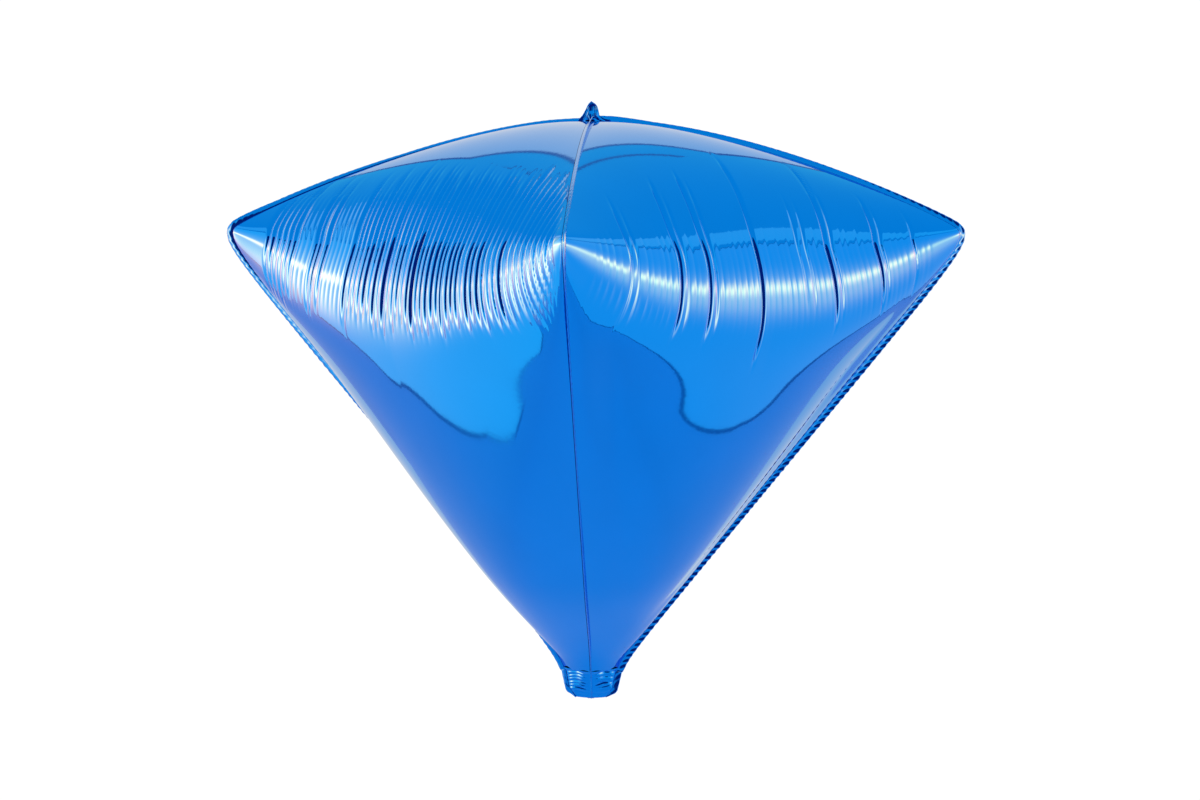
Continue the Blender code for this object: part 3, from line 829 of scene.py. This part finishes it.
# %% Studio materials
FLOOR_HEIGHT = -1.20
WALL_Y = 2.2
ROOM_GREY = (0.60, 0.61, 0.77)
CEILING_BLUE = (0.07, 0.60, 0.78)
CURTAIN_BLUE = (0.02, 0.035, 0.18)
FRAME_GREY = (0.12, 0.22, 0.40)
GLINT_BLUE = 0.16             # strength of a glint's blue, which the film gives back in full


def light_material(name, colour):
    """An evenly glowing sheet, its colour linear."""
    material, tree = new_material(name)
    shader = add_node(tree, "ShaderNodeEmission", {"Color": (*colour, 1.0), "Strength": 1.0})
    add_node(tree, "ShaderNodeOutputMaterial", {"Surface": shader.outputs["Emission"]})
    return material


def bell(tree, place, centre, size):
    """A bell curve of the distance from centre, over size, along each axis."""
    offset = add_node(tree, "ShaderNodeVectorMath", {0: place, 1: centre}, operation="SUBTRACT")
    scaled = add_node(tree, "ShaderNodeVectorMath", {0: offset.outputs["Vector"], 1: size},
                      operation="DIVIDE").outputs["Vector"]
    squared = add_node(tree, "ShaderNodeVectorMath", {0: scaled, 1: scaled}, operation="DOT_PRODUCT")
    fall = add_node(tree, "ShaderNodeMath", {0: squared.outputs["Value"], 1: -1.0}, operation="MULTIPLY")
    return add_node(tree, "ShaderNodeMath", {0: fall.outputs[0]}, operation="EXPONENT").outputs[0]


def white_in_film(angle):
    """Colour of the light that the blue film, mirroring it at an angle in degrees, turns white."""
    rim = (1 - math.cos(math.radians(angle))) ** 5
    red, green, blue = [c + (1 - c) * rim for c in linear(FILM_BLUE)[:3]]
    return (1 / red, 1 / green, GLINT_BLUE / blue)


def lamp_material(name, glows):
    """See-through sheet that adds glows, given as (centre, size, white, angle of the mirror)."""
    material, tree = new_material(name)
    place = add_node(tree, "ShaderNodeTexCoord").outputs["Object"]
    total = add_node(tree, "ShaderNodeBsdfTransparent").outputs["BSDF"]
    for centre, size, white, angle in glows:
        colour = white_in_film(angle)
        fall = bell(tree, place, centre, size)
        strength = add_node(tree, "ShaderNodeMath", {0: fall, 1: white * colour[0]}, operation="MULTIPLY")
        tint = (*[c / colour[0] for c in colour], 1.0)
        glow = add_node(tree, "ShaderNodeEmission", {"Color": tint, "Strength": strength.outputs[0]})
        both = add_node(tree, "ShaderNodeAddShader", {0: glow.outputs["Emission"], 1: total})
        total = both.outputs["Shader"]
    add_node(tree, "ShaderNodeOutputMaterial", {"Surface": total})
    return material


def make_sheet(name, corners, material, mirrored=True, seen=False, lights=True):
    """A flat stage sheet through its corner points."""
    bm = bmesh.new()
    bm.faces.new([bm.verts.new(corner) for corner in corners])
    sheet = finish_mesh(name, bm, material)
    sheet.visible_camera = seen
    sheet.visible_glossy = mirrored
    sheet.visible_diffuse = lights


def wall_patch(low_x, high_x, low_z, high_z, lift=0.0):
    """Corners of an upright rectangle on the back wall."""
    y = WALL_Y - lift
    return [(low_x, y, low_z), (high_x, y, low_z), (high_x, y, high_z), (low_x, y, high_z)]


BOARD_REACH = 1.125           # sideways, at the height of the neck's end
BOARD_LEAN = 0.295            # sideways for each metre of height
BOARD_CENTRE = Vector((0.05, 0.3))


def board_patch(side, edge, lift=0.0, margin=0.0):
    """Corners of a patch of a side board, which leans in at its foot, from (y, z) pairs."""
    corners = []
    for y, z in edge:
        outward = (Vector((y, z)) - BOARD_CENTRE).normalized() * margin
        y, z = y + outward.x, z + outward.y
        corners.append((side * (BOARD_REACH + BOARD_LEAN * z - lift), y, z))
    return corners


print("glint at 50 degrees", [round(value, 2) for value in white_in_film(50)])

# %% Room
CEILING_HEIGHT = 3.2
ROOM_HALF = 14
CURTAIN_Y = -2.6
CURTAIN_HALF = 3.5
CURTAIN_TOP = 3.0

world = bpy.data.worlds.new("grey_room")
world.use_nodes = True
world.node_tree.nodes["Background"].inputs["Color"].default_value = (*ROOM_GREY, 1.0)
bpy.context.scene.world = world

floor_material, floor_tree = new_material("pale_floor_paint")
floor_shader = add_node(floor_tree, "ShaderNodeBsdfPrincipled",
                        {"Base Color": linear("#E6E9FF"), "Roughness": 0.9})
add_node(floor_tree, "ShaderNodeOutputMaterial", {"Surface": floor_shader.outputs["BSDF"]})
floor_bm = bmesh.new()
bmesh.ops.create_grid(floor_bm, x_segments=2, y_segments=2, size=12.0,
                      matrix=Matrix.Translation((0, 0, FLOOR_HEIGHT)))
floor = finish_mesh("studio_floor", floor_bm, floor_material)

backdrop_light = light_material("white_backdrop_paper", (1.05, 1.05, 1.05))
wall_light = light_material("lit_wall_paint", (0.80, 0.80, 0.80))
frame_dark = light_material("dark_frame", FRAME_GREY)
curtain_dark = light_material("dark_curtain", CURTAIN_BLUE)
ceiling_light = light_material("blue_ceiling_paint", CEILING_BLUE)
make_sheet("backdrop", wall_patch(-6, 6, FLOOR_HEIGHT, 4, -0.03), backdrop_light, mirrored=False,
           seen=True, lights=False)
make_sheet("back_wall", wall_patch(-1.9, 2.1, FLOOR_HEIGHT, 0.95), wall_light)
make_sheet("back_board_frame", wall_patch(-1.18, 0.81, 0.9, 2.00, 0.01), frame_dark, lights=False)
make_sheet("back_board", wall_patch(-1.12, 0.75, 0.9, 1.94, 0.02), wall_light)
make_sheet("back_rail", wall_patch(-1.3, 0.85, 2.30, 2.35, 0.01), frame_dark, lights=False)
ceiling_corners = [(x * ROOM_HALF, y * ROOM_HALF, CEILING_HEIGHT)
                   for x, y in ((-1, -1), (1, -1), (1, 1), (-1, 1))]
make_sheet("ceiling", ceiling_corners, ceiling_light, lights=False)
curtain_corners = [(-CURTAIN_HALF, CURTAIN_Y, FLOOR_HEIGHT), (CURTAIN_HALF, CURTAIN_Y, FLOOR_HEIGHT),
                   (CURTAIN_HALF, CURTAIN_Y, CURTAIN_TOP), (-CURTAIN_HALF, CURTAIN_Y, CURTAIN_TOP)]
make_sheet("front_curtain", curtain_corners, curtain_dark, lights=False)
print("wall at y", WALL_Y, "curtain at y", CURTAIN_Y, "ceiling at", CEILING_HEIGHT)

# %% Side boards and lamps
# Outlines as (y, z) pairs, seen from the balloon
LEFT_EDGE = [(-1.3, 1.05), (-1.3, -0.42), (-0.30, -0.50), (-0.20, -0.80), (-0.15, -0.93), (-0.04, -0.69),
             (0.18, -0.40), (0.29, -0.22), (0.33, 0.10), (0.80, 1.05)]
RIGHT_EDGE = [(-1.3, 1.05), (-1.3, -0.75), (-0.22, -0.74), (-0.03, -0.62), (0.19, -0.49), (0.35, -0.35),
              (0.76, -0.10), (0.95, 0.30), (0.95, 1.05)]
RAIL = [(-1.3, 1.12), (1.3, 1.12), (1.3, 1.38), (-1.3, 1.38)]
LAMP_PATCH = [(-1.2, -0.7), (2.0, -0.7), (2.0, 1.5), (-1.2, 1.5)]
FRAME_MARGIN = 0.028
SHEET_GAP = 0.01              # frames lie this far behind a board, lamps this far in front
left_light = light_material("left_board_cloth", (1.03, 1.03, 1.03))
right_light = light_material("right_board_cloth", (0.80, 0.80, 0.94))
rail_light = light_material("upper_board_cloth", (0.90, 0.90, 0.95))
BOARDS = ((-1, LEFT_EDGE, left_light, "left"), (1, RIGHT_EDGE, right_light, "right"))
for side, edge, board_light, label in BOARDS:
    make_sheet(label + "_board", board_patch(side, edge), board_light)
    make_sheet(label + "_frame", board_patch(side, edge, -SHEET_GAP, FRAME_MARGIN), frame_dark, lights=False)
    make_sheet(label + "_upper_board", board_patch(side, RAIL), rail_light)
left_lamp = lamp_material("left_lamp_glow", [
    ((-1.27, -0.08, 0.50), (0.5, 0.13, 0.05), 0.7, 50), ((-1.27, 0.17, 0.47), (0.5, 0.13, 0.05), 0.6, 57),
    ((-1.27, 0.45, 0.50), (0.5, 0.16, 0.06), 0.6, 62), ((-1.27, -0.12, 0.35), (0.5, 0.18, 0.28), 0.18, 50),
    ((-1.27, 0.20, 0.36), (0.5, 0.18, 0.27), 0.70, 58), ((-1.27, 0.50, 0.38), (0.5, 0.18, 0.25), 0.60, 64),
    ((-1.2, -0.62, 0.25), (0.5, 0.22, 0.50), 1.0, 37), ((-1.2, 1.10, 0.60), (0.5, 0.38, 0.36), 1.0, 68)])
right_lamp = lamp_material("right_lamp_glow", [
    ((1.26, -0.05, 0.47), (0.5, 0.15, 0.07), 0.6, 49), ((1.26, 0.28, 0.47), (0.5, 0.15, 0.07), 0.6, 54),
    ((1.26, -0.10, 0.38), (0.5, 0.20, 0.20), 0.24, 49), ((1.26, 0.20, 0.38), (0.5, 0.20, 0.20), 0.24, 55),
    ((1.26, 0.48, 0.38), (0.5, 0.18, 0.18), 0.12, 62), ((1.2, -0.62, 0.30), (0.5, 0.20, 0.42), 0.8, 37),
    ((1.2, 1.10, 0.60), (0.5, 0.38, 0.34), 0.8, 68)])
make_sheet("left_lamp", board_patch(-1, LAMP_PATCH, SHEET_GAP), left_lamp, lights=False)
make_sheet("right_lamp", board_patch(1, LAMP_PATCH, SHEET_GAP), right_lamp, lights=False)
print("lamps", left_lamp.name, right_lamp.name)

bpy.context.scene.view_settings.view_transform = "Standard"
